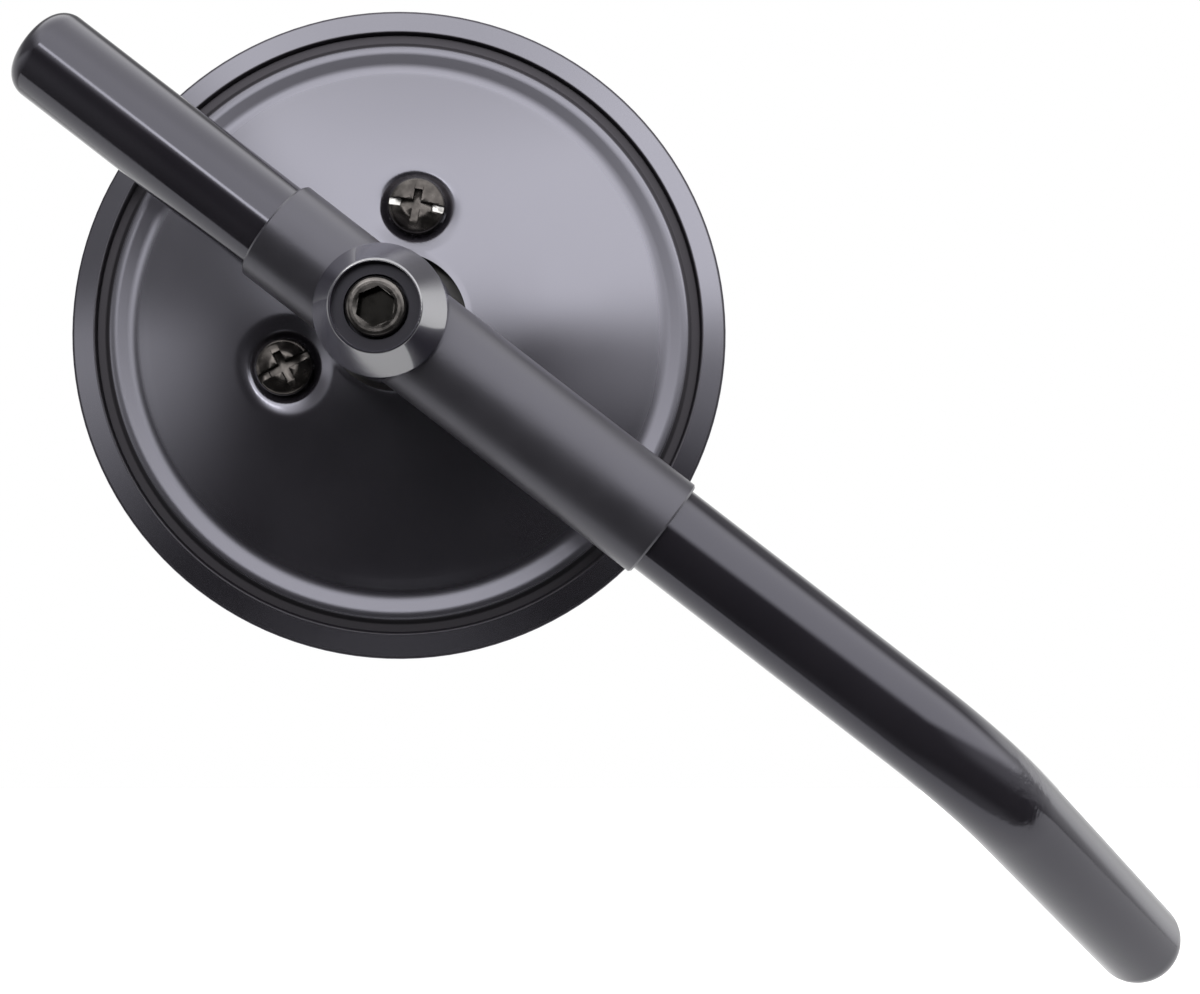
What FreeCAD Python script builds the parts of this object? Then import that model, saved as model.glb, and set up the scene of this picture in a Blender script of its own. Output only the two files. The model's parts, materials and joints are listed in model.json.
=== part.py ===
import FreeCAD, Part
import math
import os

from FreeCAD import Vector

# Round motorcycle mirror: a domed head on a ball joint, carried by a boss and a sleeve on a bent stem.
# Driving dimensions, in millimetres and degrees.

# Stem: a round bar, straight past the head, then bent to a straight tail that the motorcycle holds.
stem_dia = 14.0
stem_free_length = 64.4
bend_start = 96.5
bend_radius = 36.0
bend_angle = 36.5
bend_plane_turn = 9.5
tail_length = 48.5
free_end_round = 3.0
tail_end_round = 5.0
stem_lean = 37.7

# Sleeve: a thin tube that slides on the stem.
sleeve_wall = 0.85
sleeve_short_length = 20.4
sleeve_long_length = 50.6
sleeve_edge = 0.3
slide_clearance = 0.05

# Boss: turned body across the sleeve, with a conical top, a stepped recess and a tapered base.
turn_clearance = 0.05
boss_dia = 19.0
boss_rim_dia = 13.1
boss_cone_height = 6.2
boss_crown = 3.05
boss_base = 3.05
boss_foot_dia = 13.0
boss_taper_height = 4.0
rim_edge = 0.3
ring_recess_dia = 12.4
ring_recess_depth = 1.6

# Clamp screw and the pad that it presses on the sleeve.
screw_head_dia = 8.4
screw_head_height = 3.5
screw_head_round = 0.7
screw_thread_dia = 5.0
screw_lift = 0.3
screw_sink = 0.2
head_pocket_clearance = 0.35
thread_clearance = 0.05
socket_across_flats = 5.0
socket_depth = 2.9
socket_chamfer = 0.25
pad_height = 1.3

# Ball stud, between the boss and the head.
ball_dia = 11.0
ball_drop = 17.0
neck_dia = 6.8
spigot_dia = 5.0
spigot_length = 2.2
spigot_end_gap = 0.2
ball_clearance = 0.1

# Back shell: heights are measured from the plane of the bezel's back edge. The groove is set in from the
# bezel's band, the bead from the groove, and the dome's edge from the bead.
shell_wall = 0.8
dome_r = 87.86
dome_edge_set_in = 3.3
dome_edge_height = 0.4
centre_hole_dia = 21.2
hole_lip_height = 0.4
hole_lip_width = 0.7
valley_width = 0.5
valley_depth = 0.25
valley_round = 1.0
bead_set_in = 1.5
bead_height = 0.8
bead_round = 0.8
groove_set_in = 1.6
groove_height = -0.6
groove_round = 0.5
skirt_depth = 4.4
skirt_round = 0.8

# Bezel ring, crimped over the shell's edge behind and over the glass in front.
bezel_dia = 102.4
bezel_wall = 0.7
band_inner_radius = 47.3
band_inner_height = 0.6
band_outer_height = -1.5
band_round = 0.5
band_edge_round = 0.25
front_lip_radius = 47.6
front_round = 1.2
crimp_gap = 0.05

# Glass and its gasket.
glass_thickness = 3.0
gasket_thickness = 0.9
gasket_width = 3.4

# Ball seat and its fasteners, inside the head.
seat_over_joint = 0.843
plate_thickness = 1.2
plate_dia = 43.6
seat_reach = 3.0
fastener_circle_radius = 18.4
fastener_turn = -1.0
fastener_count = 3
fastener_dia = 4.0
fastener_hole_clearance = 0.2
pan_head_dia = 8.8
pan_head_height = 2.6
pan_head_round = 1.5
pan_slot_width = 1.1
pan_slot_depth = 1.0
pan_cross_length = 4.6
dimple_depth = 2.0
dimple_floor_dia = 9.2
dimple_mouth_dia = 11.0
dimple_mouth_round = 1.2
washer_thickness = 0.9
washer_dia = 7.6
nut_across_flats = 7.0
nut_height = 3.2
fastener_tail = 0.8

# How the dimples' mouths are found: points taken along each edge, and how near they lie to the dome.
edge_samples = 9
edge_tolerance = 0.01

# Rest pose of the head: leaned on its ball, round an axis along the stem.
head_lean = 4.0

# Sizes that follow from the driving dimensions.
stem_r = stem_dia / 2
sleeve_bore_r = stem_r + slide_clearance
sleeve_r = sleeve_bore_r + sleeve_wall
boss_bore_r = sleeve_r + turn_clearance
pocket_floor = boss_bore_r + boss_crown
screw_seat = pocket_floor + screw_lift
screw_top = screw_seat + screw_head_height
boss_top = screw_top + screw_sink
boss_bottom = -(boss_bore_r + boss_base)
ball_r = ball_dia / 2
seat_r = ball_r + ball_clearance
hole_r = centre_hole_dia / 2
bezel_r = bezel_dia / 2
groove_radius = band_inner_radius - groove_set_in
bead_radius = groove_radius - bead_set_in
dome_edge_radius = bead_radius - dome_edge_set_in
crown_height = dome_edge_height + dome_r - math.sqrt(dome_r ** 2 - dome_edge_radius ** 2)
skirt_bottom = -skirt_depth
glass_back = skirt_bottom - gasket_thickness
glass_front = glass_back - glass_thickness
bezel_front = glass_front - bezel_wall
skirt_r = bezel_r - bezel_wall - crimp_gap


def dome_height(radius):
    """Height of the shell's dome at a distance from the head's axis."""
    return crown_height - dome_r + math.sqrt(dome_r ** 2 - radius ** 2)


dimple_floor = dome_height(fastener_circle_radius) - dimple_depth
plate_top = dimple_floor - shell_wall
plate_joint = plate_top - plate_thickness
plate_bottom = plate_joint - plate_thickness
seat_height_on_ball = plate_joint + seat_over_joint


def rounded_path(points):
    """Edges of an open path through (radius, height, corner round) points, with tangent arcs at the corners."""
    places = [Vector(r, 0, h) for r, h, corner in points]
    edges = []
    start = places[0]
    for before, here, after, point in zip(places, places[1:], places[2:], points[1:]):
        corner = point[2]
        if corner == 0:
            edges.append(Part.LineSegment(start, here).toShape())
            start = here
            continue
        back = (before - here).normalize()
        ahead = (after - here).normalize()
        half = math.acos(max(-1, min(1, back.dot(ahead)))) / 2
        reach = corner / math.tan(half)
        first = here + back * reach
        last = here + ahead * reach
        centre = here + (back + ahead).normalize() * (corner / math.sin(half))
        middle = centre + (here - centre).normalize() * corner
        edges.append(Part.LineSegment(start, first).toShape())
        edges.append(Part.Arc(first, middle, last).toShape())
        start = last
    edges.append(Part.LineSegment(start, places[-1]).toShape())
    return edges


def turned(edges):
    """Solid of revolution about the Z axis from the edges of a closed section."""
    section = Part.Face(Part.Wire(Part.__sortEdges__(edges)))
    return section.revolve(Vector(0, 0, 0), Vector(0, 0, 1), 360)


def turned_outline(points):
    """Solid of revolution from a closed outline of (radius, height, corner round) points."""
    return turned(rounded_path(points + [points[0]]))


def arc_on_ball(radius, low, high):
    """Arc of a section through the ball's centre, between two heights over that centre."""
    heights = [low, (low + high) / 2, high]
    places = [Vector(math.sqrt(radius ** 2 - h ** 2), 0, seat_height_on_ball + h) for h in heights]
    return Part.Arc(*places).toShape()


def cylinder(radius, low, high, x=0.0, y=0.0):
    """Upright cylinder between two heights."""
    return Part.makeCylinder(radius, high - low, Vector(x, y, low))


def hexagon_prism(across_flats, low, high):
    """Upright hexagonal prism between two heights."""
    corner_r = across_flats / 2 / math.cos(math.pi / 6)
    angles = [math.radians(60 * k) for k in range(7)]
    corners = [Vector(corner_r * math.cos(a), corner_r * math.sin(a), low) for a in angles]
    return Part.Face(Part.makePolygon(corners)).extrude(Vector(0, 0, high - low))


def fastener_places():
    """Places of the shell's fasteners round the head's axis, one of them under the sleeve."""
    step = 360 / fastener_count
    angles = [math.radians(fastener_turn + step * k) for k in range(fastener_count)]
    r = fastener_circle_radius
    return [Vector(r * math.cos(a), r * math.sin(a), 0) for a in angles]


def repeated(shape):
    """One copy of a shape at each fastener's place."""
    copies = []
    for place in fastener_places():
        copy = shape.copy()
        copy.translate(place)
        copies.append(copy)
    return copies


def bend_directions():
    """Side that the stem bends to, and the direction of its tail."""
    turn = math.radians(bend_plane_turn)
    side = Vector(0, -math.sin(turn), -math.cos(turn))
    bend = math.radians(bend_angle)
    tail = Vector(math.cos(bend), 0, 0) + side * math.sin(bend)
    return side, tail


def bend_end():
    """Point where the bend runs into the straight tail."""
    side, tail = bend_directions()
    bend = math.radians(bend_angle)
    return Vector(bend_start + bend_radius * math.sin(bend), 0, 0) + side * (bend_radius * (1 - math.cos(bend)))


def rounded_bar(start, direction, length, end_round):
    """Straight stretch of the stem whose far end has a rounded edge."""
    bar = Part.makeCylinder(stem_r, length, start, direction)
    far = start + direction * length
    edges = [e for e in bar.Edges if e.isClosed() and e.CenterOfMass.distanceToPoint(far) < stem_r / 2]
    return bar.makeFillet(end_round, edges)


def make_stem():
    """Bent stem: free straight run, bend and tail, in one bar."""
    side, tail = bend_directions()
    start = Vector(bend_start, 0, 0)
    straight = rounded_bar(start, Vector(-1, 0, 0), bend_start + stem_free_length, free_end_round)
    centre = start + side * bend_radius
    disc = Part.Face(Part.Wire(Part.makeCircle(stem_r, start, Vector(1, 0, 0))))
    bend = disc.revolve(centre, Vector(1, 0, 0).cross(side), bend_angle)
    tail_bar = rounded_bar(bend_end(), tail, tail_length, tail_end_round)
    return straight.fuse([bend, tail_bar])


def make_sleeve():
    """Thin tube round the stem, its ends cut square with a broken edge."""
    low = -sleeve_short_length
    high = sleeve_long_length
    outline = [
        (sleeve_bore_r, low, 0),
        (sleeve_r - sleeve_edge, low, 0),
        (sleeve_r, low + sleeve_edge, 0),
        (sleeve_r, high - sleeve_edge, 0),
        (sleeve_r - sleeve_edge, high, 0),
        (sleeve_bore_r, high, 0),
    ]
    tube = turned_outline(outline)
    tube.rotate(Vector(0, 0, 0), Vector(0, 1, 0), 90)
    return tube


def make_boss():
    """Turned boss with its stepped recess, its cross bore and the hole for the ball stud."""
    boss_r = boss_dia / 2
    rim_r = boss_rim_dia / 2
    recess_r = ring_recess_dia / 2
    pocket_r = screw_head_dia / 2 + head_pocket_clearance
    thread_r = screw_thread_dia / 2 + thread_clearance
    spigot_r = spigot_dia / 2 + turn_clearance
    foot_r = boss_foot_dia / 2
    spigot_top = boss_bottom + spigot_length + spigot_end_gap
    ring_floor = boss_top - ring_recess_depth
    outline = [
        (0, spigot_top, 0),
        (spigot_r, spigot_top, 0),
        (spigot_r, boss_bottom, 0),
        (foot_r, boss_bottom, rim_edge),
        (boss_r, boss_bottom + boss_taper_height, 2 * rim_edge),
        (boss_r, boss_top - boss_cone_height, rim_edge),
        (rim_r, boss_top, rim_edge),
        (recess_r, boss_top, 0),
        (recess_r, ring_floor, 0),
        (pocket_r, ring_floor, 0),
        (pocket_r, pocket_floor, 0),
        (thread_r, pocket_floor, 0),
        (thread_r, 0, 0),
        (0, 0, 0),
    ]
    boss = turned_outline(outline)
    bore = Part.makeCylinder(boss_bore_r, boss_dia, Vector(-boss_r, 0, 0), Vector(1, 0, 0))
    return boss.cut(bore)


def make_clamp_screw():
    """Socket-head screw, its tip on the pressure pad."""
    head_r = screw_head_dia / 2
    shank_r = screw_thread_dia / 2
    tip = boss_bore_r + pad_height
    outline = [
        (0, tip, 0),
        (shank_r, tip, 0),
        (shank_r, screw_seat, 0),
        (head_r, screw_seat, 0),
        (head_r, screw_top, screw_head_round),
        (0, screw_top, 0),
    ]
    screw = turned_outline(outline)
    socket = hexagon_prism(socket_across_flats, screw_top - socket_depth, screw_top)
    mouth_r = socket_across_flats / 2 / math.cos(math.pi / 6)
    mouth = Part.makeCone(mouth_r - socket_chamfer, mouth_r + socket_chamfer, 2 * socket_chamfer,
                          Vector(0, 0, screw_top - 2 * socket_chamfer))
    return screw.cut([socket, mouth])


def make_pressure_pad():
    """Pad in the boss's threaded hole, its lower face fitted to the sleeve."""
    pad = cylinder(screw_thread_dia / 2, 0, boss_bore_r + pad_height)
    bore = Part.makeCylinder(boss_bore_r, boss_dia, Vector(-boss_dia / 2, 0, 0), Vector(1, 0, 0))
    return pad.cut(bore)


def make_ball_stud():
    """Ball with its neck and the spigot that turns in the boss's base."""
    ball = Part.makeSphere(ball_r, Vector(0, 0, -ball_drop))
    neck = cylinder(neck_dia / 2, -ball_drop, boss_bottom)
    spigot = cylinder(spigot_dia / 2, boss_bottom, boss_bottom + spigot_length)
    return ball.fuse([neck, spigot]).removeSplitter()


def band_slope():
    """Direction of the bezel's conical band, running outwards, in a section."""
    band = Vector(bezel_r - band_inner_radius, 0, band_outer_height - band_inner_height)
    return band.normalize()


def under_band(depth):
    """Height of a line under the band, at a depth below its face, for any radius."""
    slope = band_slope()
    inward = Vector(slope.z, 0, -slope.x)
    start = Vector(band_inner_radius, 0, band_inner_height) + inward * depth
    return lambda radius: start.z + (radius - start.x) * slope.z / slope.x


def make_bezel():
    """Bezel ring: front lip, side wall and the conical band crimped over the shell."""
    slope = band_slope()
    inner_line = under_band(bezel_wall)
    inner_r = bezel_r - bezel_wall
    edge_r = band_inner_radius + slope.z * bezel_wall
    outline = [
        (front_lip_radius, glass_front, 0),
        (front_lip_radius, bezel_front, band_edge_round),
        (bezel_r, bezel_front, front_round),
        (bezel_r, band_outer_height, band_round),
        (band_inner_radius, band_inner_height, band_edge_round),
        (edge_r, inner_line(edge_r), 0),
        (inner_r, inner_line(inner_r), 0),
        (inner_r, glass_front, 0),
    ]
    return turned_outline(outline)


def shell_rim_points(lowered, skirt_radius):
    """Path of the shell's edge from the dome outwards: valley, bead, groove, ledge under the band and skirt."""
    line = under_band(bezel_wall + crimp_gap)
    ledge_r = band_inner_radius - bezel_wall
    return [
        (dome_edge_radius, dome_edge_height - lowered, 0),
        (dome_edge_radius + valley_width, dome_edge_height - valley_depth - lowered, valley_round),
        (bead_radius, bead_height - lowered, bead_round),
        (groove_radius, groove_height - lowered, groove_round),
        (ledge_r, line(ledge_r) - lowered, 0),
        (skirt_radius, line(skirt_radius) - lowered, skirt_round),
        (skirt_radius, skirt_bottom, 0),
    ]


def dome_arc(first, last, lowered):
    """Arc of the dome in a section, between two radii."""
    radii = [first, (first + last) / 2, last]
    return Part.Arc(*[Vector(r, 0, dome_height(r) - lowered) for r in radii]).toShape()


def dimple_mouths(shell):
    """Edges round the dimples' mouths: those near a fastener's axis that lie on the dome all along."""
    found = []
    for edge in shell.Edges:
        points = edge.discretize(edge_samples)
        if max(abs(p.z - dome_height(math.hypot(p.x, p.y))) for p in points) > edge_tolerance:
            continue
        for place in fastener_places():
            if max(math.hypot(p.x - place.x, p.y - place.y) for p in points) < dimple_mouth_dia:
                found.append(edge)
    return found


def make_shell():
    """Stamped back shell with its centre hole and the dimples for the fasteners."""
    lip_r = hole_r + hole_lip_width
    lip_top = dome_height(hole_r) + hole_lip_height
    edges = []
    for lowered, skirt_radius in ((0, skirt_r), (shell_wall, skirt_r - shell_wall)):
        edges += rounded_path(shell_rim_points(lowered, skirt_radius))
        edges.append(dome_arc(lip_r, dome_edge_radius, lowered))
        edges += rounded_path([(hole_r, lip_top - lowered, 0), (lip_r, dome_height(lip_r) - lowered, 0)])
    edges += rounded_path([(skirt_r, skirt_bottom, 0), (skirt_r - shell_wall, skirt_bottom, 0)])
    edges += rounded_path([(hole_r, lip_top, 0), (hole_r, lip_top - shell_wall, 0)])
    shell = turned(edges)
    floor_r = dimple_floor_dia / 2
    mouth_r = dimple_mouth_dia / 2
    flare = (mouth_r - floor_r) / dimple_depth
    rise = 2 * dimple_depth
    hollow = Part.makeCone(floor_r, floor_r + flare * rise, rise, Vector(0, 0, dimple_floor))
    wall = Part.makeCone(floor_r + shell_wall * flare, floor_r + shell_wall * flare + flare * rise, rise,
                         Vector(0, 0, plate_top))
    mid_wall = Part.makeSphere(dome_r - shell_wall / 2, Vector(0, 0, crown_height - dome_r))
    cups = [copy.common(mid_wall) for copy in repeated(wall)]
    hole = cylinder(fastener_dia / 2 + fastener_hole_clearance, plate_top, dimple_floor)
    shell = shell.fuse(cups).cut(repeated(hollow) + repeated(hole)).removeSplitter()
    return shell.makeFillet(dimple_mouth_round, dimple_mouths(shell))


def make_glass():
    """Flat round mirror glass, held between the bezel's lip and the gasket."""
    return cylinder(skirt_r, glass_front, glass_back)


def make_gasket():
    """Rubber ring between the shell's skirt and the glass."""
    ring = cylinder(skirt_r, glass_back, skirt_bottom)
    return ring.cut(cylinder(skirt_r - gasket_width, glass_back, skirt_bottom))


def make_seat_plate(joint_side, flat_side, reach):
    """Plate with a pressed collar round one side of the ball, drilled for the fasteners."""
    outer_ball = seat_r + plate_thickness
    joint = joint_side - seat_height_on_ball
    flat = flat_side - seat_height_on_ball
    tip = reach * outer_ball / seat_r
    inner_arc = arc_on_ball(seat_r, joint, reach)
    outer_arc = arc_on_ball(outer_ball, flat, tip)
    inner_joint_r = math.sqrt(seat_r ** 2 - joint ** 2)
    outer_flat_r = math.sqrt(outer_ball ** 2 - flat ** 2)
    edges = [inner_arc, outer_arc]
    edges += rounded_path([(math.sqrt(seat_r ** 2 - reach ** 2), seat_height_on_ball + reach, 0),
                           (math.sqrt(outer_ball ** 2 - tip ** 2), seat_height_on_ball + tip, 0)])
    edges += rounded_path([(inner_joint_r, joint_side, 0), (plate_dia / 2, joint_side, 0),
                           (plate_dia / 2, flat_side, 0), (outer_flat_r, flat_side, 0)])
    plate = turned(edges)
    low = min(joint_side, flat_side)
    hole = cylinder(fastener_dia / 2 + fastener_hole_clearance, low, low + plate_thickness)
    return plate.cut(repeated(hole))


def make_pan_screw():
    """Pan-head screw with a slot and a cross in its head."""
    head_r = pan_head_dia / 2
    shank_r = fastener_dia / 2
    top = dimple_floor + pan_head_height
    tip = plate_bottom - washer_thickness - nut_height - fastener_tail
    outline = [
        (0, tip, 0),
        (shank_r, tip, 0),
        (shank_r, dimple_floor, 0),
        (head_r, dimple_floor, 0),
        (head_r, top, pan_head_round),
        (0, top, 0),
    ]
    floor = top - pan_slot_depth
    slot = Part.makeBox(pan_head_dia, pan_slot_width, pan_slot_depth,
                        Vector(-head_r, -pan_slot_width / 2, floor))
    cross = Part.makeBox(pan_slot_width, pan_cross_length, pan_slot_depth,
                         Vector(-pan_slot_width / 2, -pan_cross_length / 2, floor))
    return turned_outline(outline).cut([slot, cross])


def make_lock_washer():
    """Washer between the lower plate and a nut."""
    low = plate_bottom - washer_thickness
    ring = cylinder(washer_dia / 2, low, plate_bottom)
    return ring.cut(cylinder(fastener_dia / 2 + fastener_hole_clearance, low, plate_bottom))


def make_nut():
    """Hexagon nut under a washer."""
    high = plate_bottom - washer_thickness
    nut = hexagon_prism(nut_across_flats, high - nut_height, high)
    return nut.cut(cylinder(fastener_dia / 2 + thread_clearance, high - nut_height, high))


def group(shapes):
    """Separate solids kept together as one node."""
    return Part.makeCompound(shapes)


def stem_pieces():
    """Pieces that follow the stem, the sleeve, the boss and the ball."""
    return {
        "stem": make_stem(),
        "clamp_sleeve": make_sleeve(),
        "clamp_boss": make_boss(),
        "clamp_screw": make_clamp_screw(),
        "pressure_pad": make_pressure_pad(),
        "ball_stud": make_ball_stud(),
    }


def head_pieces():
    """Pieces of the head, in the head's own frame."""
    return {
        "back_shell": make_shell(),
        "bezel_ring": make_bezel(),
        "mirror_glass": make_glass(),
        "glass_gasket": make_gasket(),
        "ball_seat_plate": make_seat_plate(plate_joint, plate_top, seat_reach),
        "ball_clamp_plate": make_seat_plate(plate_joint, plate_bottom, -seat_reach),
        "shell_screws": group(repeated(make_pan_screw())),
        "lock_washers": group(repeated(make_lock_washer())),
        "shell_nuts": group(repeated(make_nut())),
    }


def head_placement():
    """Head's frame in the stem's frame: its ball centre on the stud's ball, leaned to its rest pose."""
    lean = FreeCAD.Rotation(Vector(1, 0, 0), -head_lean)
    ball = Vector(0, 0, -ball_drop)
    return FreeCAD.Placement(ball - lean.multVec(Vector(0, 0, seat_height_on_ball)), lean)


def part_placement():
    """Stem's frame in the part's frame: the stem leans as it hangs, the origin is in the middle of the tail."""
    lean = math.radians(stem_lean)
    along = Vector(math.cos(lean), 0, -math.sin(lean))
    across = Vector(math.sin(lean), 0, math.cos(lean))
    turn = FreeCAD.Rotation(along, across, Vector(0, -1, 0), "XYZ")
    side, tail = bend_directions()
    held = bend_end() + tail * ((tail_length - tail_end_round) / 2)
    return FreeCAD.Placement(turn.multVec(held) * -1, turn)


def main():
    """Write each node as a STEP file."""
    os.makedirs("parts", exist_ok=True)
    whole = part_placement()
    head = whole.multiply(head_placement())
    for pieces, placement in ((stem_pieces(), whole), (head_pieces(), head)):
        for name, shape in pieces.items():
            shape.Placement = placement.multiply(shape.Placement)
            shape.exportStep("parts/" + name + ".step")
            print(name, "valid", shape.isValid(), "solids", len(shape.Solids), "volume", round(shape.Volume, 1))


main()
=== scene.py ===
# %% [markdown]
# A round motorcycle mirror, seen from behind.
# The solids of the part come in first as a fixed frame. Everything that is added here is measured from
# that frame, so each piece lands where the part says, and follows the joint that carries it.

# %% Load the frame
import json
import math

import bmesh
import bpy
from mathutils import Matrix, Vector


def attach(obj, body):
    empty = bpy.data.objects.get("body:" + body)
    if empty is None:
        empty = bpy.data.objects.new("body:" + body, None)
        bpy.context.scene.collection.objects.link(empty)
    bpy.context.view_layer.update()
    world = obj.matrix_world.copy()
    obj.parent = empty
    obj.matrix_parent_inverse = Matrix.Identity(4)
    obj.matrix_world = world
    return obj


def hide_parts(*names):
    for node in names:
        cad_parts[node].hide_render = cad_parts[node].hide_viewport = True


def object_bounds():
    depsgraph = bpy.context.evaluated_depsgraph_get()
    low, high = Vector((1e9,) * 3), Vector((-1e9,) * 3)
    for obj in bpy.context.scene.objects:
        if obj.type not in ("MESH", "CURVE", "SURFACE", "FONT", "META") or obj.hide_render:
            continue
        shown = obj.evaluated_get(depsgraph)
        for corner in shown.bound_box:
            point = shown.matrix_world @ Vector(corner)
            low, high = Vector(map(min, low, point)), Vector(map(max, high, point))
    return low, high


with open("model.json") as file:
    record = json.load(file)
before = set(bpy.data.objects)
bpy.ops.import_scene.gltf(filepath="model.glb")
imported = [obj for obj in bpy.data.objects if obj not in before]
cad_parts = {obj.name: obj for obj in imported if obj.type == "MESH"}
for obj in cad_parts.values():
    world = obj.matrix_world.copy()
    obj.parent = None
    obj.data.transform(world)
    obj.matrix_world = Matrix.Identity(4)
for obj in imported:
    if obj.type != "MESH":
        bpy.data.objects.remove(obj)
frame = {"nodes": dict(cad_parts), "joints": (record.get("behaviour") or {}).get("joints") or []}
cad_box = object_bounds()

MM = 0.001
joints = {joint["name"]: joint for joint in frame["joints"]}
print("nodes:", sorted(frame["nodes"]))

# %% [markdown]
# The stem and the head have frames of their own. The slide's axis runs along the stem, the swivel's axis
# runs out of the back of the head, and the head hangs on the ball at the tilt's centre. The head's frame
# starts on the bezel's back plane, a little behind the ball. A matrix made from these lets every later
# cell work in plain local millimetres, and puts the finished mesh in place with one transform.

# %% Local frames of the stem and the head
ALONG = Vector(joints["sleeve_slide"]["axis"])
OUT = Vector(joints["head_swivel"]["axis"])
ACROSS = OUT.cross(ALONG)
BOSS_CENTRE = Vector(joints["boss_turn"]["pos_m"])
BALL_CENTRE = Vector(joints["head_tilt"]["pos_m"])
HEAD_LEAN = math.radians(sum(joints["head_tilt"]["range_deg"]) / 2)
SEAT_HEIGHT = 5.5 * MM

stem_frame = Matrix((ALONG, ACROSS, OUT)).transposed().to_4x4()
stem_frame.translation = BOSS_CENTRE
ball_drop = (BOSS_CENTRE - BALL_CENTRE).length
at_ball = stem_frame @ Matrix.Translation((0, 0, -ball_drop))
leaned = at_ball @ Matrix.Rotation(-HEAD_LEAN, 4, "X")
head_frame = leaned @ Matrix.Translation((0, 0, -SEAT_HEIGHT))
print("stem runs", tuple(round(v, 3) for v in ALONG), "head leans", round(math.degrees(HEAD_LEAN), 1))

# %% [markdown]
# The camera stands where the photographer stood: square to the straight run of the stem, close enough
# that the bent tail shrinks as it runs away. Its distance comes from how much thinner the tail looks than
# the straight run.

# %% Camera
CAMERA_DISTANCE = 285 * MM
CAMERA_RIGHT = 30.94 * MM
CAMERA_DOWN = 26.27 * MM
LENS_MM = 58.97
SENSOR_MM = 36
NEAREST_SEEN = 10 * MM

camera_data = bpy.data.cameras.new("camera")
camera_data.lens = LENS_MM
camera_data.sensor_width = SENSOR_MM
camera_data.clip_start = NEAREST_SEEN
camera = bpy.data.objects.new("camera", camera_data)
camera.location = BOSS_CENTRE + Vector((CAMERA_RIGHT, -CAMERA_DISTANCE, -CAMERA_DOWN))
camera.rotation_euler = (math.radians(90), 0, 0)
bpy.context.scene.collection.objects.link(camera)
bpy.context.scene.camera = camera
print("camera at", tuple(round(v, 3) for v in camera.location))

# %% [markdown]
# Finishes are painted with numbers, not with pictures. A shader tree is a net of small nodes, and writing
# it link by link hides the idea, so one small class wraps a socket: sums and products of sockets read like
# plain arithmetic, and its method called node adds any other node. Colours and vectors have nodes of
# their own, because a plain sum would turn a colour grey.

# %% A small class for shader arithmetic
VECTOR = "ShaderNodeVectorMath"


class Field:
    """One output socket of a shader tree, with plain arithmetic."""

    def __init__(self, tree, socket):
        self.tree = tree
        self.socket = socket

    def node(self, kind, settings=None, inputs=None, output=0):
        """Add a node of any kind, set it, feed its inputs and return one of its outputs."""
        made = self.tree.nodes.new(kind)
        for key, value in (settings or {}).items():
            setattr(made, key, value)
        for key, value in (inputs or {}).items():
            feed(self.tree, made.inputs[key], value)
        return Field(self.tree, made.outputs[output])

    def math(self, operation, first, second):
        """Add one Math node with two inputs."""
        return self.node("ShaderNodeMath", {"operation": operation}, {0: first, 1: second})

    def __add__(self, other):
        return self.math("ADD", self, other)

    def __sub__(self, other):
        return self.math("SUBTRACT", self, other)

    def __mul__(self, other):
        return self.math("MULTIPLY", self, other)

    def __rsub__(self, other):
        return self.math("SUBTRACT", other, self)

    __radd__ = __add__
    __rmul__ = __mul__

    def step(self, low, high, start=0.0, end=1.0):
        """Run smoothly from one value to another between two limits."""
        ends = {"Value": self, "From Min": low, "From Max": high, "To Min": start, "To Max": end}
        return self.node("ShaderNodeMapRange", {"interpolation_type": "SMOOTHSTEP"}, ends)

    def between(self, first, last):
        """Blend two colours by this value."""
        return self.node("ShaderNodeMix", {"data_type": "RGBA"}, {0: self, 6: first, 7: last}, 2)

    def noise(self, scale, detail):
        """Cloudy noise at places given by this socket, with a scale in clouds per metre."""
        return self.node("ShaderNodeTexNoise", {}, {"Vector": self, "Scale": scale, "Detail": detail})


def feed(tree, socket, value):
    """Set an input to a constant or link it to a field."""
    if isinstance(value, Field):
        tree.links.new(value.socket, socket)
    else:
        socket.default_value = value


def finish_of(name, constants):
    """Material with constants set on its shader; returns it, the shader and its object coordinates."""
    material = bpy.data.materials.new(name)
    material.use_nodes = True
    tree = material.node_tree
    shader = tree.nodes["Principled BSDF"]
    for key, value in constants.items():
        shader.inputs[key].default_value = value
    places = Field(tree, tree.nodes.new("ShaderNodeTexCoord").outputs["Object"])
    return material, shader, places


def drive(shader, **fields):
    """Feed fields into the shader's inputs, named with underscores for spaces."""
    for key, value in fields.items():
        feed(shader.id_data, shader.inputs[key.replace("_", " ")], value)


def bumped(places, height, distance, strength):
    """Normal tilted by a height field."""
    return places.node("ShaderNodeBump", {}, {"Height": height, "Distance": distance, "Strength": strength})


print("shader arithmetic ready")

# %% [markdown]
# Baked enamel covers the stem, the shell, the bezel and the boss. It is a thin skin sprayed over steel:
# nearly black, a touch violet, glossy, with a faint unevenness called orange peel. A high index stands for
# the hard clear surface of the enamel, so that it mirrors the room as strongly as the real one. Slow
# clouds of noise let its tone and its gloss drift, because no sprayed coat is the same all over.

# %% Gloss black enamel
LAVENDER = (0.88, 0.87, 1.0, 1.0)
DEEP_BLACK = (0.010, 0.009, 0.012, 1)
SOFT_BLACK = (0.020, 0.018, 0.022, 1)
COAT_CLOUDS = 45
PEEL_CLOUDS = 2500
PEEL_HEIGHT = 0.004 * MM
PEEL_STRENGTH = 0.1
HARD_INDEX = 2.4


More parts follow.
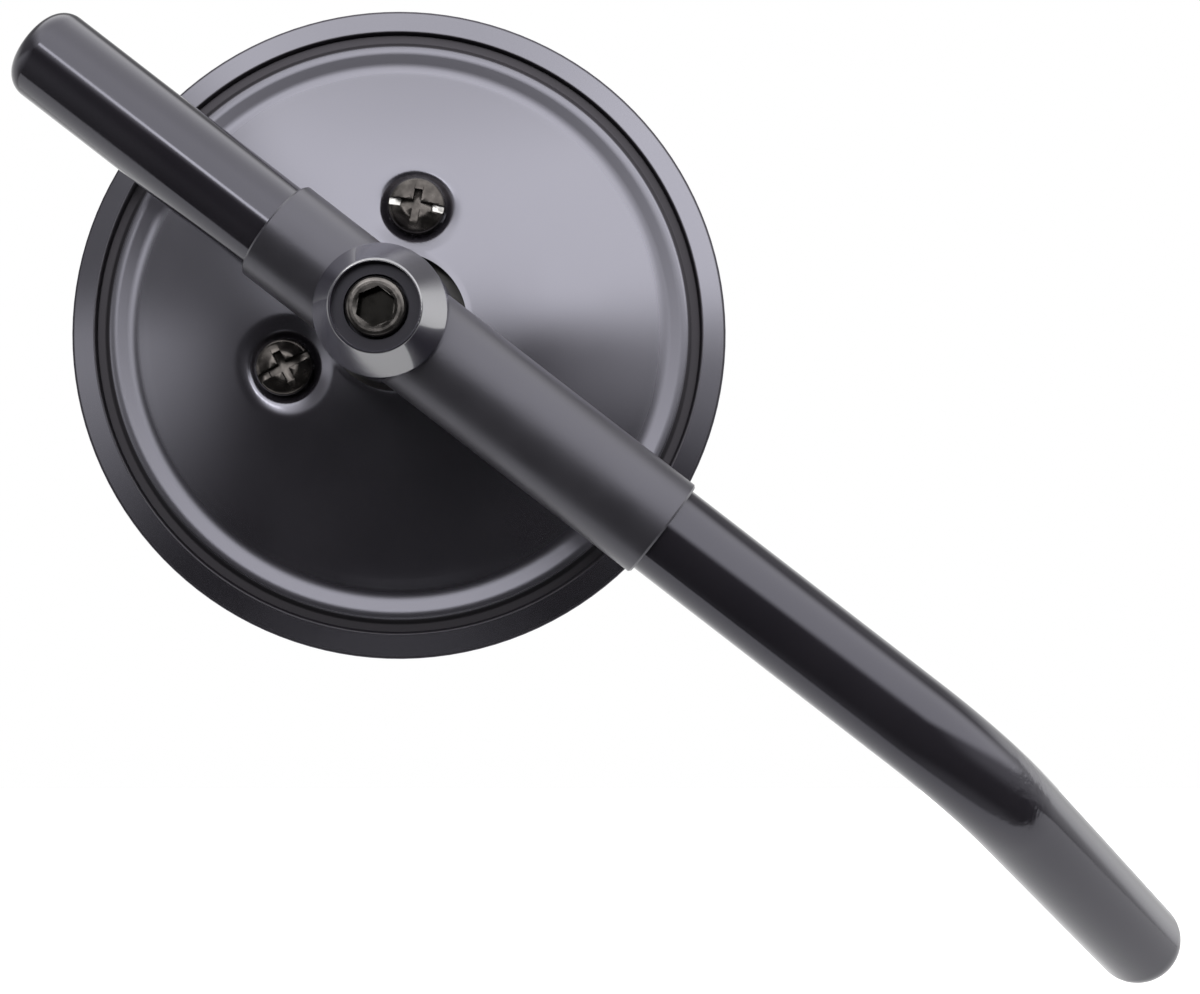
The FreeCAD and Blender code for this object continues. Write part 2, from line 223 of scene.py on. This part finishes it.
def black_enamel(name, index, low, high):
    """Enamel with a roughness that drifts between two values; returns what later lines add to."""
    material, shader, places = finish_of(name, {"IOR": index, "Specular Tint": LAVENDER})
    clouds = places.noise(COAT_CLOUDS, 3)
    peel = places.noise(PEEL_CLOUDS, 2)
    tone = clouds.between(DEEP_BLACK, SOFT_BLACK)
    sheen = clouds.step(0.3, 0.7, low, high)
    peeled = bumped(places, peel, PEEL_HEIGHT, PEEL_STRENGTH)
    drive(shader, Base_Color=tone, Roughness=sheen, Normal=peeled)
    print("made", material.name)
    return material, shader, places, tone, sheen


enamel, shader, places, tone, sheen = black_enamel("gloss_black_enamel", HARD_INDEX, 0.17, 0.25)

# %% [markdown]
# The bottom of the narrow groove and the bezel's outer corner are painted shade: a near-black colour, made
# metallic so that the enamel's strong reflection is gone, keeps them dark as shade falls there, and they are
# dull. The bead beside the groove is rubbed most, so its gloss is duller too. These zones are rings round the
# head's axis. Two distances find them: how far a place lies from that axis, and how far along it. Masks that
# run from nought to one within a fraction of a millimetre then blend one finish into the other, and they stay
# on the head when it moves.

# %% Painted shade in the groove and at the corner, duller bead
PAINTED_SHADE_TONE = (0.052, 0.049, 0.055, 1)
SHADED_RING_ROUGHNESS = 0.5
BEAD_ROUGHNESS = 0.42

head_axis = head_frame.to_3x3() @ Vector((0, 0, 1))
head_middle = head_frame.translation
from_middle = places.node(VECTOR, {"operation": "SUBTRACT"}, {0: places, 1: head_middle})
crossed = places.node(VECTOR, {"operation": "CROSS_PRODUCT"}, {0: from_middle, 1: head_axis})
ring_radius = places.node(VECTOR, {"operation": "LENGTH"}, {0: crossed}, 1)
height = places.node(VECTOR, {"operation": "DOT_PRODUCT"}, {0: from_middle, 1: head_axis}, 1)
groove = ring_radius.step(44.9 * MM, 45.2 * MM) * ring_radius.step(47.3 * MM, 47.6 * MM, 1.0, 0.0)
corner = ring_radius.step(50.7 * MM, 50.9 * MM)
painted_shade = (groove + corner) * height.step(-2.4 * MM, -2.0 * MM)
bead = ring_radius.step(39.8 * MM, 42.5 * MM) * ring_radius.step(44.6 * MM, 45.0 * MM, 1.0, 0.0)
sheen = sheen + bead * (BEAD_ROUGHNESS - sheen)
sheen = sheen + painted_shade * (SHADED_RING_ROUGHNESS - sheen)
# painted shade: the groove floor and the bezel's outer corner take a near-black metallic colour
drive(shader, Base_Color=painted_shade.between(tone, PAINTED_SHADE_TONE), Metallic=painted_shade, Roughness=sheen)
print("thin paint and duller bead on", enamel.name)

# %% [markdown]
# The bar's coat is the same enamel, with a lower index and more gloss: it mirrors less, but sharper. Where
# the bar was bent, the coat on one side has wrinkled: a small patch of noise, faded out with distance from
# one spot, stands for that mark.

# %% Enamel of the bar, with the wrinkle on its bend
WRINKLE_SPOT = BOSS_CENTRE + Vector((90.6, 2.0, -68.5)) * MM
WRINKLE_CLOUDS = 420
WRINKLE_HEIGHT = 0.8 * MM
WRINKLE_STRENGTH = 0.35

bar_enamel, shader, places, tone, sheen = black_enamel("gloss_black_bar_enamel", 1.6, 0.09, 0.15)
from_spot = places.node(VECTOR, {"operation": "DISTANCE"}, {0: places, 1: WRINKLE_SPOT}, 1)
wrinkle = from_spot.step(2 * MM, 8 * MM, 1.0, 0.0) * places.noise(WRINKLE_CLOUDS, 3)
drive(shader, Normal=bumped(places, wrinkle, WRINKLE_HEIGHT, WRINKLE_STRENGTH))

# %% [markdown]
# The boss has the enamel on its outside only. Its recess was left dull, so the glossy coat is given as a
# coat over a plainer black, and it stops inside the recess's edge, found from the distance to the boss's
# axis. That axis runs along Y, so the distance is taken with Y left out.

# %% Enamel of the boss, with its dull recess
boss_enamel, shader, places, tone, sheen = black_enamel("boss_enamel", 1.4, 0.30, 0.38)
shader.inputs["Coat IOR"].default_value = HARD_INDEX
shader.inputs["Coat Roughness"].default_value = 0.1
shader.inputs["Coat Tint"].default_value = LAVENDER
flattened = places.node(VECTOR, {"operation": "MULTIPLY"}, {0: places, 1: (1, 0, 1)})
axis_foot = (BOSS_CENTRE.x, 0, BOSS_CENTRE.z)
off_axis = places.node(VECTOR, {"operation": "DISTANCE"}, {0: flattened, 1: axis_foot}, 1)
drive(shader, Coat_Weight=off_axis.step(6.1 * MM, 6.3 * MM))

# %% [markdown]
# The sleeve is a tube left in a duller coat that has been rubbed by being slid along the stem. It is
# rougher, so it shows one broad soft highlight and no mirrored edges, and a fine grain in the coat breaks
# up what little it mirrors.

# %% Satin black tube coat
GRAIN_CLOUDS = 1600
GRAIN_HEIGHT = 0.02 * MM
GRAIN_STRENGTH = 0.3

satin, shader, places = finish_of("satin_black_coat", {"IOR": 1.65, "Specular Tint": LAVENDER})
clouds = places.noise(90, 4)
grain = places.noise(GRAIN_CLOUDS, 2)
drive(shader, Base_Color=clouds.between((0.020, 0.019, 0.023, 1), (0.034, 0.032, 0.037, 1)),
      Roughness=clouds.step(0.3, 0.7, 0.30, 0.40), Normal=bumped(places, grain, GRAIN_HEIGHT, GRAIN_STRENGTH))
print("made", satin.name)

# %% [markdown]
# The screws are steel with a black zinc plating. The plating is thin, so it keeps a metal's sheen, and its
# tone is cloudy.

# %% Black zinc plating
def black_zinc(name):
    """Dark plating; returns what later lines add to."""
    material, shader, places = finish_of(name, {"Metallic": 0.9})
    clouds = places.noise(700, 3)
    tone = clouds.step(0.3, 0.75).between((0.040, 0.036, 0.034, 1), (0.085, 0.077, 0.072, 1))
    drive(shader, Base_Color=tone, Roughness=clouds.step(0.3, 0.7, 0.18, 0.28))
    print("made", material.name)
    return material, shader, places, clouds


zinc, shader, places, clouds = black_zinc("black_zinc_plating")

# %% [markdown]
# The floors at the ends of a slot take a bright metal colour, a painted glint where real slots catch the
# light. The socket screw has been turned too: its top is worn to a browner grey, while its socket is painted
# darker with depth, painted shade in the hole. The shade is a mask by depth below the screw's top, which is
# enough because the screw's axis runs along Y.

# %% Painted glint in the slots and painted shade in the socket
SCREW_TOP = BOSS_CENTRE.y - 14.8 * MM
SOCKET_SHADE = (0.012, 0.011, 0.010, 1)

slot_glint_metal, shader, places, clouds = black_zinc("slot_painted_glint_metal")
# painted glint: a bright metal colour for the slot floors
drive(shader, Base_Color=clouds.between((0.32, 0.31, 0.30, 1), (0.50, 0.49, 0.48, 1)))
socket_zinc, shader, places, clouds = black_zinc("socket_screw_plating")
depth = places.node("ShaderNodeSeparateXYZ", {}, {0: places}, 1)
socket_shade = depth.step(SCREW_TOP + 0.4 * MM, SCREW_TOP + 1.6 * MM)
worn = clouds.step(0.3, 0.7).between((0.075, 0.070, 0.067, 1), (0.13, 0.12, 0.115, 1))
# painted shade: the socket darkens towards its bottom
drive(shader, Base_Color=socket_shade.between(worn, SOCKET_SHADE))

# %% [markdown]
# Inside the head and on the mirror's face are the plain finishes: steel, brass, rubber and silvered glass.
# The steel is painted near-black, painted shade, because what little of it shows, through the shell's centre
# hole, lies in a deep shade. Each has clouds of its own, so that none is flat.

# %% Plain finishes
steel, shader, places = finish_of("bare_steel_finish", {"Metallic": 1.0})
clouds = places.noise(400, 3)
# painted shade: the steel's colour is kept near-black
drive(shader, Base_Color=clouds.between((0.035, 0.034, 0.034, 1), (0.075, 0.073, 0.072, 1)),
      Roughness=clouds.step(0.3, 0.7, 0.30, 0.45))

brass, shader, places = finish_of("brass_finish", {"Metallic": 1.0})
clouds = places.noise(600, 3)
drive(shader, Base_Color=clouds.between((0.42, 0.30, 0.12, 1), (0.55, 0.40, 0.17, 1)),
      Roughness=clouds.step(0.3, 0.7, 0.35, 0.5))

rubber, shader, places = finish_of("rubber_finish", {"IOR": 1.5})
clouds = places.noise(500, 4)
drive(shader, Base_Color=clouds.between((0.014, 0.014, 0.014, 1), (0.024, 0.024, 0.024, 1)),
      Roughness=clouds.step(0.3, 0.7, 0.70, 0.85))

silvered, shader, places = finish_of("mirror_silver_finish", {"Metallic": 1.0})
clouds = places.noise(30, 2)
drive(shader, Base_Color=clouds.between((0.80, 0.82, 0.83, 1), (0.86, 0.87, 0.88, 1)),
      Roughness=clouds.step(0.3, 0.7, 0.015, 0.04))
print("made", [m.name for m in (steel, brass, rubber, silvered)])

# %% [markdown]
# The solids that came with the frame keep their meshes, and only change their finish. Most of them are
# shown as they are, because a turned or stamped solid with its edges already rounded needs no more.

# %% Finishes on the carried-over nodes
finishes = {
    "stem": enamel, "back_shell": enamel, "bezel_ring": enamel, "clamp_boss": boss_enamel,
    "clamp_sleeve": satin, "clamp_screw": socket_zinc, "shell_screws": zinc, "ball_stud": steel,
    "ball_seat_plate": steel, "ball_clamp_plate": steel, "lock_washers": steel, "shell_nuts": steel,
    "pressure_pad": brass, "glass_gasket": rubber, "mirror_glass": silvered,
}
for name, node in frame["nodes"].items():
    node.data.materials.clear()
    node.data.materials.append(finishes[name])
print("finished", len(frame["nodes"]), "nodes")

# %% [markdown]
# Turned and stamped shapes start as a section: a path of radii and heights with a round at each corner, the
# way a drawing gives it. Spinning the path round the axis makes the surface. The helpers below turn a path's
# corners into arcs, spin it shut, and put the mesh in place on its body with its finish, hiding the node that
# it stands for.

# %% Helpers for sections, meshes and pieces
ARC_STEPS = 5
SAME_POINT = 0.0005


def rounded(points):
    """Points of a path with arcs at its corners, from (radius, height, corner round) triples."""
    path = [Vector(points[0][:2])]
    for before, here, after in zip(points, points[1:], points[2:]):
        corner = Vector(here[:2])
        if here[2] == 0:
            path.append(corner)
            continue
        back = (Vector(before[:2]) - corner).normalized()
        ahead = (Vector(after[:2]) - corner).normalized()
        half = back.angle(ahead) / 2
        centre = corner + (back + ahead).normalized() * (here[2] / math.sin(half))
        first = corner + back * (here[2] / math.tan(half)) - centre
        last = corner + ahead * (here[2] / math.tan(half)) - centre
        for k in range(ARC_STEPS + 1):
            blend = first.lerp(last, k / ARC_STEPS)
            path.append(centre + blend.normalized() * here[2])
    path.append(Vector(points[-1][:2]))
    return path


def spun(path, steps):
    """Closed surface of a path of (radius, height) spun round the Z axis."""
    bm = bmesh.new()
    verts = [bm.verts.new((p[0], 0, p[1])) for p in path]
    edges = [bm.edges.new(pair) for pair in zip(verts, verts[1:])]
    bmesh.ops.spin(bm, geom=verts + edges, cent=(0, 0, 0), axis=(0, 0, 1), angle=math.tau, steps=steps,
                   use_merge=True)
    bmesh.ops.remove_doubles(bm, verts=bm.verts, dist=SAME_POINT)
    bmesh.ops.recalc_face_normals(bm, faces=bm.faces)
    return bm


def piece(name, bm, place, body, node, finish, sharp=40):
    """Object from a mesh in millimetres, put in place, finished and tied to the frame."""
    bmesh.ops.transform(bm, matrix=place @ Matrix.Scale(MM, 4), verts=bm.verts)
    bmesh.ops.recalc_face_normals(bm, faces=bm.faces)
    mesh = bpy.data.meshes.new(name)
    bm.to_mesh(mesh)
    bm.free()
    mesh.shade_smooth()
    mesh.set_sharp_from_angle(angle=math.radians(sharp))
    mesh.materials.append(finish)
    made = bpy.data.objects.new(name, mesh)
    bpy.context.scene.collection.objects.link(made)
    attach(made, body)
    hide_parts(node)
    print("made", name, "with", len(mesh.polygons), "faces")
    return made


print("helpers ready")

# %% [markdown]
# The stem is one round bar. Its free end is cut and rounded over, the bar runs straight past the head, and
# then it is drawn round a former: the last ring of the straight run is spun about the bend's centre, which
# is just what a tube bender does. The tail runs on straight to its own rounded end. A curve with a bevel
# would give the same bar, but rings that are extruded one after another also make its ends.

# %% Sizes and rings of the stem
STEM_R = 7.0
STEM_SEGMENTS = 96
FREE_END = -64.4
BEND_START = 96.5
BEND_R = 36.0
BEND = math.radians(36.5)
BEND_TURN = math.radians(9.5)
BEND_STEPS = 32
TAIL = 48.5
FREE_ROUND = 3.0
TAIL_ROUND = 5.0
END_STEPS = 10


def next_ring(bm, ring, matrix):
    """Extrude a ring of edges and move the new ring."""
    geom = bmesh.ops.extrude_edge_only(bm, edges=ring)["geom"]
    verts = [g for g in geom if isinstance(g, bmesh.types.BMVert)]
    bmesh.ops.transform(bm, matrix=matrix, verts=verts)
    return [g for g in geom if isinstance(g, bmesh.types.BMEdge) and set(g.verts) <= set(verts)]


def end_ring(end_round, k):
    """Distance from the end's flat and radius of one ring on a rounded end."""
    angle = math.pi / 2 * k / END_STEPS
    return end_round * (1 - math.cos(angle)), STEM_R - end_round + end_round * math.sin(angle)


straight = Vector((1, 0, 0))
side = Vector((0, -math.sin(BEND_TURN), -math.cos(BEND_TURN)))
tail = Vector((math.cos(BEND), 0, 0)) + side * math.sin(BEND)
bend_centre = Vector((BEND_START, 0, 0)) + side * BEND_R
bend_end = Vector((BEND_START + BEND_R * math.sin(BEND), 0, 0)) + side * BEND_R * (1 - math.cos(BEND))
tail_turn = straight.rotation_difference(tail).to_matrix().to_4x4()
print("tail runs", tuple(round(v, 3) for v in tail))

# %% [markdown]
# The bar is built in the order in which its rings lie: a disc for the flat of the free end, rings that grow
# over its round, one long step along the straight run, the spin for the bend, one long step along the tail,
# and rings that shrink over the last round. One face closes the end.

# %% Stem bar
bm = bmesh.new()
free_flat = Matrix.Translation((FREE_END, 0, 0)) @ Matrix.Rotation(math.pi / 2, 4, "Y")
bmesh.ops.create_circle(bm, segments=STEM_SEGMENTS, radius=STEM_R - FREE_ROUND, cap_ends=True,
                        matrix=free_flat)
ring = list(bm.edges)
for k in range(END_STEPS):
    (x0, r0), (x1, r1) = end_ring(FREE_ROUND, k), end_ring(FREE_ROUND, k + 1)
    grow = Matrix.Diagonal((1, r1 / r0, r1 / r0, 1))
    ring = next_ring(bm, ring, Matrix.Translation((x1 - x0, 0, 0)) @ grow)
ring = next_ring(bm, ring, Matrix.Translation((BEND_START - FREE_END - FREE_ROUND, 0, 0)))
swept = bmesh.ops.spin(bm, geom=ring, cent=bend_centre, axis=straight.cross(side), angle=BEND,
                       steps=BEND_STEPS)
ring = [g for g in swept["geom_last"] if isinstance(g, bmesh.types.BMEdge)]
ring = next_ring(bm, ring, Matrix.Translation(tail * (TAIL - TAIL_ROUND)))
for k in range(END_STEPS, 0, -1):
    (x0, r0), (x1, r1) = end_ring(TAIL_ROUND, k), end_ring(TAIL_ROUND, k - 1)
    middle = Matrix.Translation(bend_end + tail * (TAIL - x0)) @ tail_turn
    shrink = Matrix.Diagonal((1, r1 / r0, r1 / r0, 1))
    ring = next_ring(bm, ring, Matrix.Translation(tail * (x0 - x1)) @ middle @ shrink @ middle.inverted())
bmesh.ops.contextual_create(bm, geom=ring)
piece("stem_bar", bm, stem_frame, "stem", "stem", bar_enamel)

# %% [markdown]
# The shell is stamped from one sheet. Its dome is part of a large sphere with a lipped hole in its middle,
# and a bead and a groove near the rim make it stiff. Beyond the groove the sheet runs under the bezel's
# sloping band and turns down into a skirt. Both faces of the sheet are one section, lowered by the wall's
# thickness for the inner one, so a closed path of the two is spun once.

# %% Section of the back shell
WALL = 0.8
DOME_R = 87.86
DOME_EDGE = 40.9
DOME_BREAK = 39.0
EDGE_HEIGHT = 0.4
HOLE_R = 10.6
LIP_R = 11.3
LIP_RISE = 0.4
VALLEY = (41.3, 0.1, 3.0)
BEAD_TOP = (44.3, 0.82, 1.5)
GROOVE_INNER = (45.7, -0.15, 0.7)
GROOVE_OUTER = (47.0, -0.2, 0.3)
BAND_INNER = (47.3, 0.6)
BAND_OUTER = (51.2, -1.5)
BAND_WALL = 0.75
SKIRT_R = 50.45
SKIRT_ROUND = 0.8
SKIRT_BOTTOM = -4.4
SHELL_STEPS = 320

dome_drop = math.sqrt(DOME_R ** 2 - DOME_EDGE ** 2) - EDGE_HEIGHT
band_slope = (BAND_OUTER[1] - BAND_INNER[1]) / (BAND_OUTER[0] - BAND_INNER[0])
band_underside = BAND_INNER[1] - BAND_WALL * math.hypot(1, band_slope)


def dome_height(radius):
    """Height of the dome's outer face at a distance from its axis."""
    return math.sqrt(DOME_R ** 2 - radius ** 2) - dome_drop


def shell_face(lowered, skirt_r, dome_steps):
    """Section of one face of the sheet, from the centre hole out to the skirt's edge."""
    lip = [(HOLE_R, dome_height(HOLE_R) + LIP_RISE - lowered)]
    radii = [LIP_R + (DOME_BREAK - LIP_R) * k / dome_steps for k in range(dome_steps)]
    dome = [(r, dome_height(r) - lowered) for r in radii]
    shoulder = band_underside + (skirt_r - BAND_INNER[0]) * band_slope
    corners = [(DOME_BREAK, dome_height(DOME_BREAK), 0), VALLEY, BEAD_TOP, GROOVE_INNER, GROOVE_OUTER,
               (skirt_r, shoulder, SKIRT_ROUND)]
    rim = rounded([(r, z - lowered, turn) for r, z, turn in corners] + [(skirt_r, SKIRT_BOTTOM, 0)])
    return lip + dome + [tuple(p) for p in rim]


outer = shell_face(0, SKIRT_R, 80)
inner = shell_face(WALL, SKIRT_R - WALL, 40)
shell_bm = spun(outer + inner[::-1] + outer[:1], SHELL_STEPS)
print("shell spun with", len(shell_bm.faces), "faces")

# %% [markdown]
# The dimples under the screws are pressed last, so their mouths are soft: each vertex near a screw sinks by
# an amount that fades smoothly with distance, on both faces of the sheet, which keeps the sheet's
# thickness. Half of that fade is short and half is long, which gives a clear edge with a softer fall round
# it. Then the screw holes are opened through both faces, and their edges are bridged.

# %% Back shell with pressed dimples
SCREW_CIRCLE = 18.4
FIRST_SCREW = -1
DIMPLE_DEPTH = 2.0
DIMPLE_FLOOR_R = 4.5
DIMPLE_MOUTH_R = 5.6
SOFT_MOUTH_R = 8.0
SOFT_PART = 0.5
SCREW_HOLE_R = 2.6

screw_floor = dome_height(SCREW_CIRCLE) - DIMPLE_DEPTH
screw_places = []
for k in range(3):
    angle = math.radians(FIRST_SCREW + 120 * k)
    screw_places.append(Vector((SCREW_CIRCLE * math.cos(angle), SCREW_CIRCLE * math.sin(angle), 0)))


def faded(near, mouth_r):
    """Smooth fade from one on the dimple's floor to none at its mouth."""
    fade = min(1, max(0, (mouth_r - near) / (mouth_r - DIMPLE_FLOOR_R)))
    return fade * fade * (3 - 2 * fade)


for vert in shell_bm.verts:
    radius = vert.co.xy.length
    if not LIP_R - 0.01 < radius < DOME_BREAK:
        continue
    near = min((vert.co.xy - place.xy).length for place in screw_places)
    fade = (1 - SOFT_PART) * faded(near, DIMPLE_MOUTH_R) + SOFT_PART * faded(near, SOFT_MOUTH_R)
    lowered = dome_height(radius) - vert.co.z
    vert.co.z += (screw_floor - lowered - vert.co.z) * fade
for place in screw_places:
    holed = [f for f in shell_bm.faces if (f.calc_center_median().xy - place.xy).length < SCREW_HOLE_R]
    bmesh.ops.delete(shell_bm, geom=holed, context="FACES")
    rims = [e for e in shell_bm.edges if e.is_boundary]
    bmesh.ops.bridge_loops(shell_bm, edges=rims)
piece("shell_pressing", shell_bm, head_frame, "head", "back_shell", enamel)

# %% [markdown]
# The shell's screws are pan heads with a slot and a cross, so that either driver fits. Each slot is what a
# cutter leaves, so a Boolean modifier takes boxes out of the spun head. This helper makes the boxes, cuts,
# and clears away its own objects.

# %% Helper for cut slots
def linked(name, bm):
    """Object in the scene from a mesh, for the time of a cut."""
    mesh = bpy.data.meshes.new(name)
    bm.to_mesh(mesh)
    bm.free()
    made = bpy.data.objects.new(name, mesh)
    bpy.context.scene.collection.objects.link(made)
    return made


def cut_with(bm, boxes):
    """Mesh with boxes taken out of it, from (size, centre) pairs."""
    blank = linked("blank", bm)
    tools = []
    for size, centre in boxes:
        box = bmesh.new()
        bmesh.ops.create_cube(box, size=1, matrix=Matrix.Translation(centre) @ Matrix.Diagonal((*size, 1)))
        tool = linked("cutter", box)
        cut = blank.modifiers.new("cut", "BOOLEAN")
        cut.operation = "DIFFERENCE"
        cut.object = tool
        tools.append(tool)
    result = bmesh.new()
    result.from_object(blank, bpy.context.evaluated_depsgraph_get())
    for unused in tools + [blank]:
        bpy.data.objects.remove(unused)
    return result


print("cutter ready")

# %% [markdown]
# Each screw is spun, cut and turned as it stands in the photograph. A small bevel breaks the cut edges, which
# is what catches the light on a real screw. On two screws the faces on the floor at the ends of the long slot
# take a bright metal colour, a painted glint. The third one lies under the sleeve.

# %% Pan-head screws
PAN_R = 4.4
PAN_HEIGHT = 2.6
PAN_EDGE = 1.9
SHANK_R = 2.0
SHANK_TIP = -8.1
PAN_STEPS = 72
SLOT_BOXES = ((9, 1.1, 2), (1.2, 4.8, 2.4), (4.8, 1.2, 2.4))
SLOT_TURNS = (0, 27.7, 65.7)
SLOT_GLINT = (True, True, False)
SLOT_FLOOR = (1.0, PAN_HEIGHT - 0.7)
CROSS_REACH = 2.0
CRISP_ANGLE = 0.6
HEAD_FROM = 0.5
EDGE_BEVEL = 0.1

pan = rounded([(0, SHANK_TIP, 0), (SHANK_R, SHANK_TIP, 0), (SHANK_R, 0, 0), (PAN_R, 0, 0.2),
               (PAN_R, PAN_EDGE, 1.1), (2.2, PAN_HEIGHT - 0.12, 2.0), (0, PAN_HEIGHT, 0)])
boxes = [(size, (0, 0, PAN_HEIGHT)) for size in SLOT_BOXES]
screws = bmesh.new()
for place, turn, glinting_slot in zip(screw_places, SLOT_TURNS, SLOT_GLINT):
    bm = cut_with(spun(pan, PAN_STEPS), boxes)
    bmesh.ops.remove_doubles(bm, verts=bm.verts, dist=0.001)
    sharp_edges = [e for e in bm.edges if e.calc_face_angle(0) > CRISP_ANGLE]
    crisp = [e for e in sharp_edges if max(v.co.z for v in e.verts) > HEAD_FROM]
    for face in bm.faces:
        middle = face.calc_center_median()
        on_floor = face.normal.z > 0.9 and SLOT_FLOOR[0] < middle.z < SLOT_FLOOR[1]
        # painted glint: floor faces at the ends of the long slot take the bright material
        face.material_index = 1 if glinting_slot and on_floor and abs(middle.x) > CROSS_REACH else 0
    bmesh.ops.bevel(bm, geom=crisp, offset=EDGE_BEVEL, segments=2, profile=0.5, affect="EDGES", material=-1)
    seated = Matrix.Translation(place + Vector((0, 0, screw_floor)))
    turned = seated @ Matrix.Rotation(math.radians(turn), 4, "Z")
    bmesh.ops.transform(bm, matrix=turned, verts=bm.verts)
    one_screw = bpy.data.meshes.new("one_screw")
    bm.to_mesh(one_screw)
    bm.free()
    screws.from_mesh(one_screw)
pan_screws = piece("pan_screws", screws, head_frame, "head", "shell_screws", zinc, 30)
pan_screws.data.materials.append(slot_glint_metal)

# %% [markdown]
# A glossy black object shows little of its own colour: what is seen is the room in it. So the room is drawn
# with care, as light whose strength changes with direction. In front, behind the camera, it is dim with a
# bright ceiling and some light from both sides, which makes the broad sheen on the dome and the flanks of
# the stem. Behind the mirror it is pale paper, which draws light edges where a surface is seen at a
# grazing angle. The limits in each step are parts of a direction, which run from -1 to 1. The camera itself
# sees plain white.

# %% Room light
bpy.context.scene.view_settings.view_transform = "Standard"
world = bpy.data.worlds.new("studio")
bpy.context.scene.world = world
world.use_nodes = True
tree = world.node_tree
background = tree.nodes["Background"]
direction = Field(tree, tree.nodes.new("ShaderNodeTexCoord").outputs["Generated"])
axes = tree.nodes.new("ShaderNodeSeparateXYZ")
tree.links.new(direction.socket, axes.inputs[0])
to_right, away, up = (Field(tree, axes.outputs[k]) for k in range(3))

above = up.step(0.10, 0.30)
ceiling = up.step(0.70, 1.0, 2.8, 2.1) * (to_right + up * 0.6).step(-0.45, 0.1, 0.12, 1.0)
left_fill = to_right.step(-0.95, -0.5, 1.2, 0.0) * up.step(-0.6, 0.2)
right_fill = to_right.step(0.35, 0.85, 0.0, 0.7) * up.step(-0.35, 0.05)
low_fill = up.step(-0.95, -0.72, 0.4, 0.0)
front = above * ceiling + (1.0 - above) * (left_fill + right_fill + low_fill + 0.04)

right_side = to_right.step(0.55, 0.9, 0.0, 0.9) * up.step(-0.5, -0.2) * away.step(0.30, 0.42)
behind = (up.step(-0.8, 0.0, 0.3, 1.0) + right_side) * up.step(0.3, 0.55, 1.0, 0.3)
behind = behind + up.step(0.70, 0.86, 0.0, 2.2)

paper = away.step(-0.1, 0.35)
room = paper * behind + (1.0 - paper) * front
seen = Field(tree, tree.nodes.new("ShaderNodeLightPath").outputs["Is Camera Ray"])
feed(tree, background.inputs["Strength"], seen + (1.0 - seen) * room)
background.inputs["Color"].default_value = (1, 1, 1, 1)
print("room lit with", len(tree.nodes), "nodes")

# %% [markdown]
# One narrow strip lamp lies along the stem, above it and towards the camera. On the round bar it draws the
# thin bright line that runs along the free end.

# %% Strip lamp
STRIP_LENGTH = 0.26
STRIP_WIDTH = 0.06
STRIP_WATTS = 0.32
STRIP_AWAY = 0.6
STRIP_SHIFT = 0.042

strip_data = bpy.data.lights.new("strip_lamp", "AREA")
strip_data.shape = "RECTANGLE"
strip_data.size = STRIP_LENGTH
strip_data.size_y = STRIP_WIDTH
strip_data.energy = STRIP_WATTS
strip = bpy.data.objects.new("strip_lamp", strip_data)
aim = (ALONG * -0.29 + ACROSS * 0.10 + OUT * 0.95).normalized()
strip.location = BOSS_CENTRE - ALONG * STRIP_SHIFT + aim * STRIP_AWAY
strip.rotation_euler = Matrix((ALONG, aim.cross(ALONG), aim)).transposed().to_euler()
bpy.context.scene.collection.objects.link(strip)
print("strip lamp at", tuple(round(v, 2) for v in strip.location))

# %% [markdown]
# A pale floor lies well below the mirror, so that its shadow falls softly and out of the way. The camera
# sees it nearly white, while the object gets a greyer floor to mirror.

# %% Floor
FLOOR_DROP = 0.25
FLOOR_BACK = 0.9
FLOOR_HALF = 1

floor_glow = {"Roughness": 0.8, "Emission Color": (1, 1, 1, 1), "Emission Strength": 0.3}
floor_paint, shader, places = finish_of("pale_floor", floor_glow)
clouds = places.noise(6, 2)
seen = Field(places.tree, places.tree.nodes.new("ShaderNodeLightPath").outputs["Is Camera Ray"])
pale = clouds.between((0.88, 0.88, 0.88, 1), (0.92, 0.92, 0.92, 1))
drive(shader, Base_Color=seen.between((0.65, 0.65, 0.65, 1), pale),
      Emission_Color=seen.between((0.3, 0.3, 0.3, 1), (1, 1, 1, 1)))
bm = bmesh.new()
laid = Matrix.Translation((0, FLOOR_BACK, cad_box[0][2] - FLOOR_DROP))
bmesh.ops.create_grid(bm, x_segments=1, y_segments=1, size=FLOOR_HALF, matrix=laid)
floor_mesh = bpy.data.meshes.new("floor")
bm.to_mesh(floor_mesh)
bm.free()
floor_mesh.materials.append(floor_paint)
floor = bpy.data.objects.new("floor", floor_mesh)
bpy.context.scene.collection.objects.link(floor)
print("floor laid")
